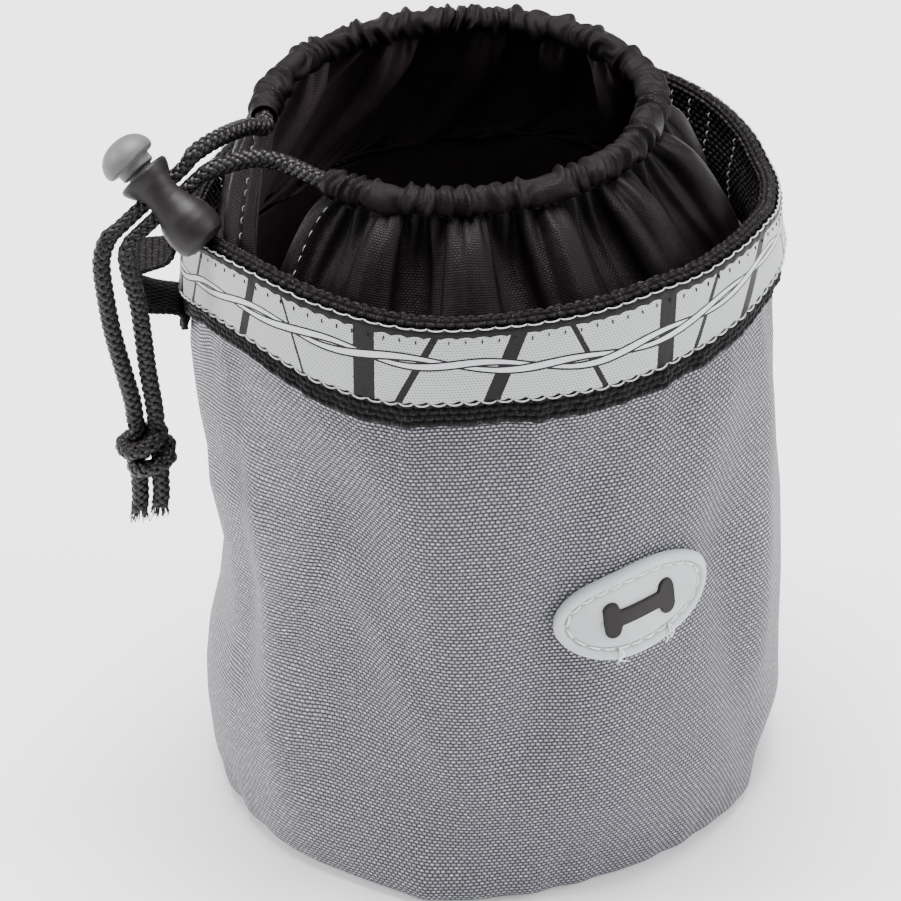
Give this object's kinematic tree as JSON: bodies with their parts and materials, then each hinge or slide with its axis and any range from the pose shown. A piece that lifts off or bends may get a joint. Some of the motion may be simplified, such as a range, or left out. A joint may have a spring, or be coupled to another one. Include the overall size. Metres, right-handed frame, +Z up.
{
  "type": "drawstring treat pouch",
  "caption": "Soft cylindrical belt pouch for dog treats, with a lining that closes by a drawstring and spring cord lock, webbing-bound mouth and oval rubber badge.",
  "frame": {"origin": "centre of the base panel's underside", "axes": "+Z up along the pouch, -Y the side that faces forward, +X to its right"},
  "size_m": [0.1181, 0.1066, 0.1379],
  "materials": {
    "woven_polyester": "matte plain weave",
    "black_webbing": "ribbed webbing",
    "jacquard_ribbon": "satin jacquard",
    "lining_taffeta": "fine taffeta with a soft sheen",
    "braided_cord": "braided",
    "lock_plastic": "fine matte moulding",
    "button_plastic": "fine matte moulding",
    "spring_steel": "drawn wire",
    "badge_rubber": "soft matte",
    "inlay_rubber": "soft matte",
    "white_thread": "polyester thread",
    "dark_thread": "polyester thread"
  },
  "bodies": {
    "pouch": {"base_panel": "woven_polyester", "shell_wall": "woven_polyester", "base_seam_tape": "black_webbing", "mouth_band": "black_webbing", "trim_ribbon": "jacquard_ribbon", "ribbon_seam_upper": "white_thread", "ribbon_seam_lower": "white_thread", "lining_wall": "lining_taffeta", "lining_base": "lining_taffeta", "liner_collar": "lining_taffeta", "drawstring_channel": "lining_taffeta", "drawstring_run": "braided_cord", "drawstring_tail_a": "braided_cord", "drawstring_tail_b": "braided_cord", "drawstring_knot": "braided_cord", "cord_end_a": "braided_cord", "cord_end_b": "braided_cord", "belt_loop": "black_webbing", "loop_bartack_upper": "dark_thread", "loop_bartack_lower": "dark_thread", "badge_plate": "badge_rubber", "badge_bone": "inlay_rubber", "badge_seam": "white_thread"},
    "cord_lock": {"lock_barrel": "lock_plastic", "lock_spring": "spring_steel"},
    "button": {"lock_button": "button_plastic"}
  },
  "joints": [
    {"name": "lock_slide", "type": "slide", "parent": "pouch", "child": "cord_lock", "axis": [-0.7545, -0.3536, -0.5529], "range_m": [-0.001, 0.004]},
    {"name": "button_press", "type": "slide", "parent": "cord_lock", "child": "button", "axis": [0.6563, -0.4065, -0.6356], "range_m": [0, 0.0022], "stiffness_N_per_m": 900, "springref_m": -0.002, "deforming": ["lock_spring"]}
  ]
}
